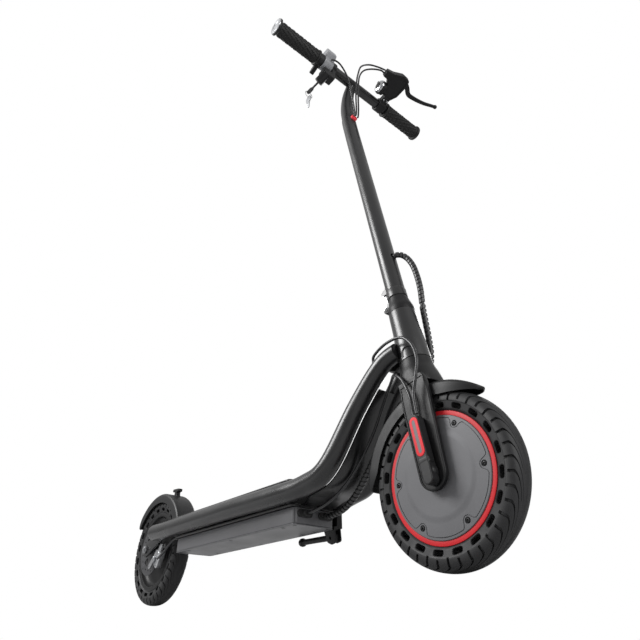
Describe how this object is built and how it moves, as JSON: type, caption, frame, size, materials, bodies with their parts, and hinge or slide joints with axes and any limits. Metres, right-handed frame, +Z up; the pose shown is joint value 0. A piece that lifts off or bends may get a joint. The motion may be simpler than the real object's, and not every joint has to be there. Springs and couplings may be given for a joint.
{
  "type": "folding electric kick scooter",
  "caption": "Folding electric kick scooter with a twin-tube frame, hub motor in the front wheel, rear disc brake and an underslung battery box.",
  "frame": {"origin": "On the ground, midway between the two axles and between the two sides.", "axes": "+X is forward, +Y is towards the rider's left, +Z is up."},
  "size_m": [1.2, 0.508, 1.2485],
  "materials": {
    "frame_black": "satin",
    "plastic_black": "matte",
    "rubber_black": "matte",
    "cable_black": "satin",
    "tyre_black": "matte",
    "box_grey": "satin",
    "motor_grey": "satin",
    "band_red": "satin",
    "reflector_red": "gloss",
    "bright_alloy": "polished",
    "steel": "brushed"
  },
  "bodies": {
    "frame": {"left_frame_tube": "frame_black", "right_frame_tube": "frame_black", "head_tube": "frame_black", "lower_headset_bearing": "steel", "upper_headset_bearing": "steel", "deck_board": "frame_black", "deck_mat": "rubber_black", "deck_base": "frame_black", "battery_box": "box_grey", "bottom_cover": "box_grey", "battery_pack": "plastic_black", "motor_controller": "motor_grey", "cable_gland": "rubber_black", "rear_axle": "steel", "rear_fender": "plastic_black", "brake_caliper": "bright_alloy", "kickstand_bracket": "frame_black", "rear_brake_cable": "cable_black", "lower_loom": "cable_black"},
    "steering": {"fork": "frame_black", "fold_base": "frame_black", "left_fork_cover": "plastic_black", "right_fork_cover": "plastic_black", "left_reflector": "reflector_red", "right_reflector": "reflector_red", "front_fender": "plastic_black", "motor_stator": "steel", "fork_cable": "cable_black", "motor_cable": "cable_black", "upper_loom": "cable_black"},
    "stem": {"stem": "frame_black", "handlebar": "frame_black", "left_grip": "rubber_black", "right_grip": "rubber_black", "left_end_cap": "plastic_black", "right_end_cap": "bright_alloy", "brake_lever_body": "frame_black", "bell_cup": "bright_alloy", "throttle_housing": "motor_grey", "ignition_lock": "plastic_black", "cable_grommet": "reflector_red", "throttle_cable": "cable_black", "brake_control_cable": "cable_black", "brake_switch_cable": "cable_black"},
    "front_wheel": {"front_tyre": "tyre_black", "motor_shell": "band_red", "left_motor_cover": "motor_grey", "right_motor_cover": "motor_grey"},
    "rear_wheel": {"rear_tyre": "tyre_black", "rear_rim": "frame_black", "brake_disc": "steel"},
    "fold_lever": {"fold_lever": "bright_alloy"},
    "brake_lever": {"brake_lever": "frame_black"},
    "caliper_arm": {"caliper_arm": "bright_alloy"},
    "throttle_paddle": {"throttle_paddle": "plastic_black"},
    "bell_striker": {"bell_striker": "plastic_black"},
    "ignition_key": {"ignition_key": "steel"},
    "spare_key": {"spare_key": "steel"},
    "kickstand_leg": {"kickstand_leg": "frame_black"},
    "charge_cap": {"charge_cap": "rubber_black"}
  },
  "joints": [
    {"name": "steering_turn", "type": "hinge", "parent": "frame", "child": "steering", "pos_m": [0.42828, 0, 0.37805], "axis": [-0.1754, 0, 0.9845], "range_deg": [-60, 60], "deforming": ["lower_loom", "fork_cable", "motor_cable"]},
    {"name": "stem_fold", "type": "hinge", "parent": "steering", "child": "stem", "pos_m": [0.39597, 0, 0.44543], "axis": [0, -1, 0], "range_deg": [0, 95], "deforming": ["upper_loom"]},
    {"name": "front_wheel_spin", "type": "hinge", "parent": "steering", "child": "front_wheel", "pos_m": [0.473, 0, 0.127], "axis": [0, 1, 0], "continuous": true},
    {"name": "rear_wheel_spin", "type": "hinge", "parent": "frame", "child": "rear_wheel", "pos_m": [-0.473, 0, 0.127], "axis": [0, 1, 0], "continuous": true},
    {"name": "fold_lever_release", "type": "hinge", "parent": "stem", "child": "fold_lever", "pos_m": [0.3828, 0, 0.49082], "axis": [0, 1, 0], "range_deg": [0, 80]},
    {"name": "brake_lever_pull", "type": "hinge", "parent": "stem", "child": "brake_lever", "pos_m": [0.41598, 0.108, 1.2283], "axis": [-0.1736, 0, 0.9848], "range_deg": [0, 25], "stiffness_Nm_per_rad": 0.8, "springref_deg": -5.16},
    {"name": "caliper_arm_pull", "type": "hinge", "parent": "frame", "child": "caliper_arm", "pos_m": [-0.42847, -0.0389, 0.10182], "axis": [0, -1, 0], "range_deg": [0, 25]},
    {"name": "throttle_press", "type": "hinge", "parent": "stem", "child": "throttle_paddle", "pos_m": [0.32341, -0.1145, 1.21198], "axis": [0, -1, 0], "range_deg": [0, 40], "stiffness_Nm_per_rad": 0.12, "springref_deg": -8.59},
    {"name": "bell_flick", "type": "hinge", "parent": "stem", "child": "bell_striker", "pos_m": [0.36173, 0.0765, 1.23651], "axis": [0.9848, 0, 0.1736], "range_deg": [0, 6], "stiffness_Nm_per_rad": 0.05, "springref_deg": -2.86},
    {"name": "key_turn", "type": "hinge", "parent": "stem", "child": "ignition_key", "pos_m": [0.31541, -0.094, 1.16998], "axis": [-0.8294, -0.2498, -0.4996], "range_deg": [0, 90]},
    {"name": "spare_key_swing", "type": "hinge", "parent": "ignition_key", "child": "spare_key", "pos_m": [0.27062, -0.10749, 1.143], "axis": [1, 0, 0], "range_deg": [-30, 30]},
    {"name": "kickstand_swing", "type": "hinge", "parent": "frame", "child": "kickstand_leg", "pos_m": [0.149, 0.06, 0.091], "axis": [0, 0.9659, 0.2588], "range_deg": [-100, 0]},
    {"name": "charge_cap_flap", "type": "hinge", "parent": "frame", "child": "charge_cap", "pos_m": [-0.223, 0.0501, 0.12935], "axis": [1, 0, 0], "range_deg": [0, 80]}
  ],
  "couplings": [
    {"joint": "caliper_arm_pull", "follows": "brake_lever_pull", "ratio": 1}
  ]
}
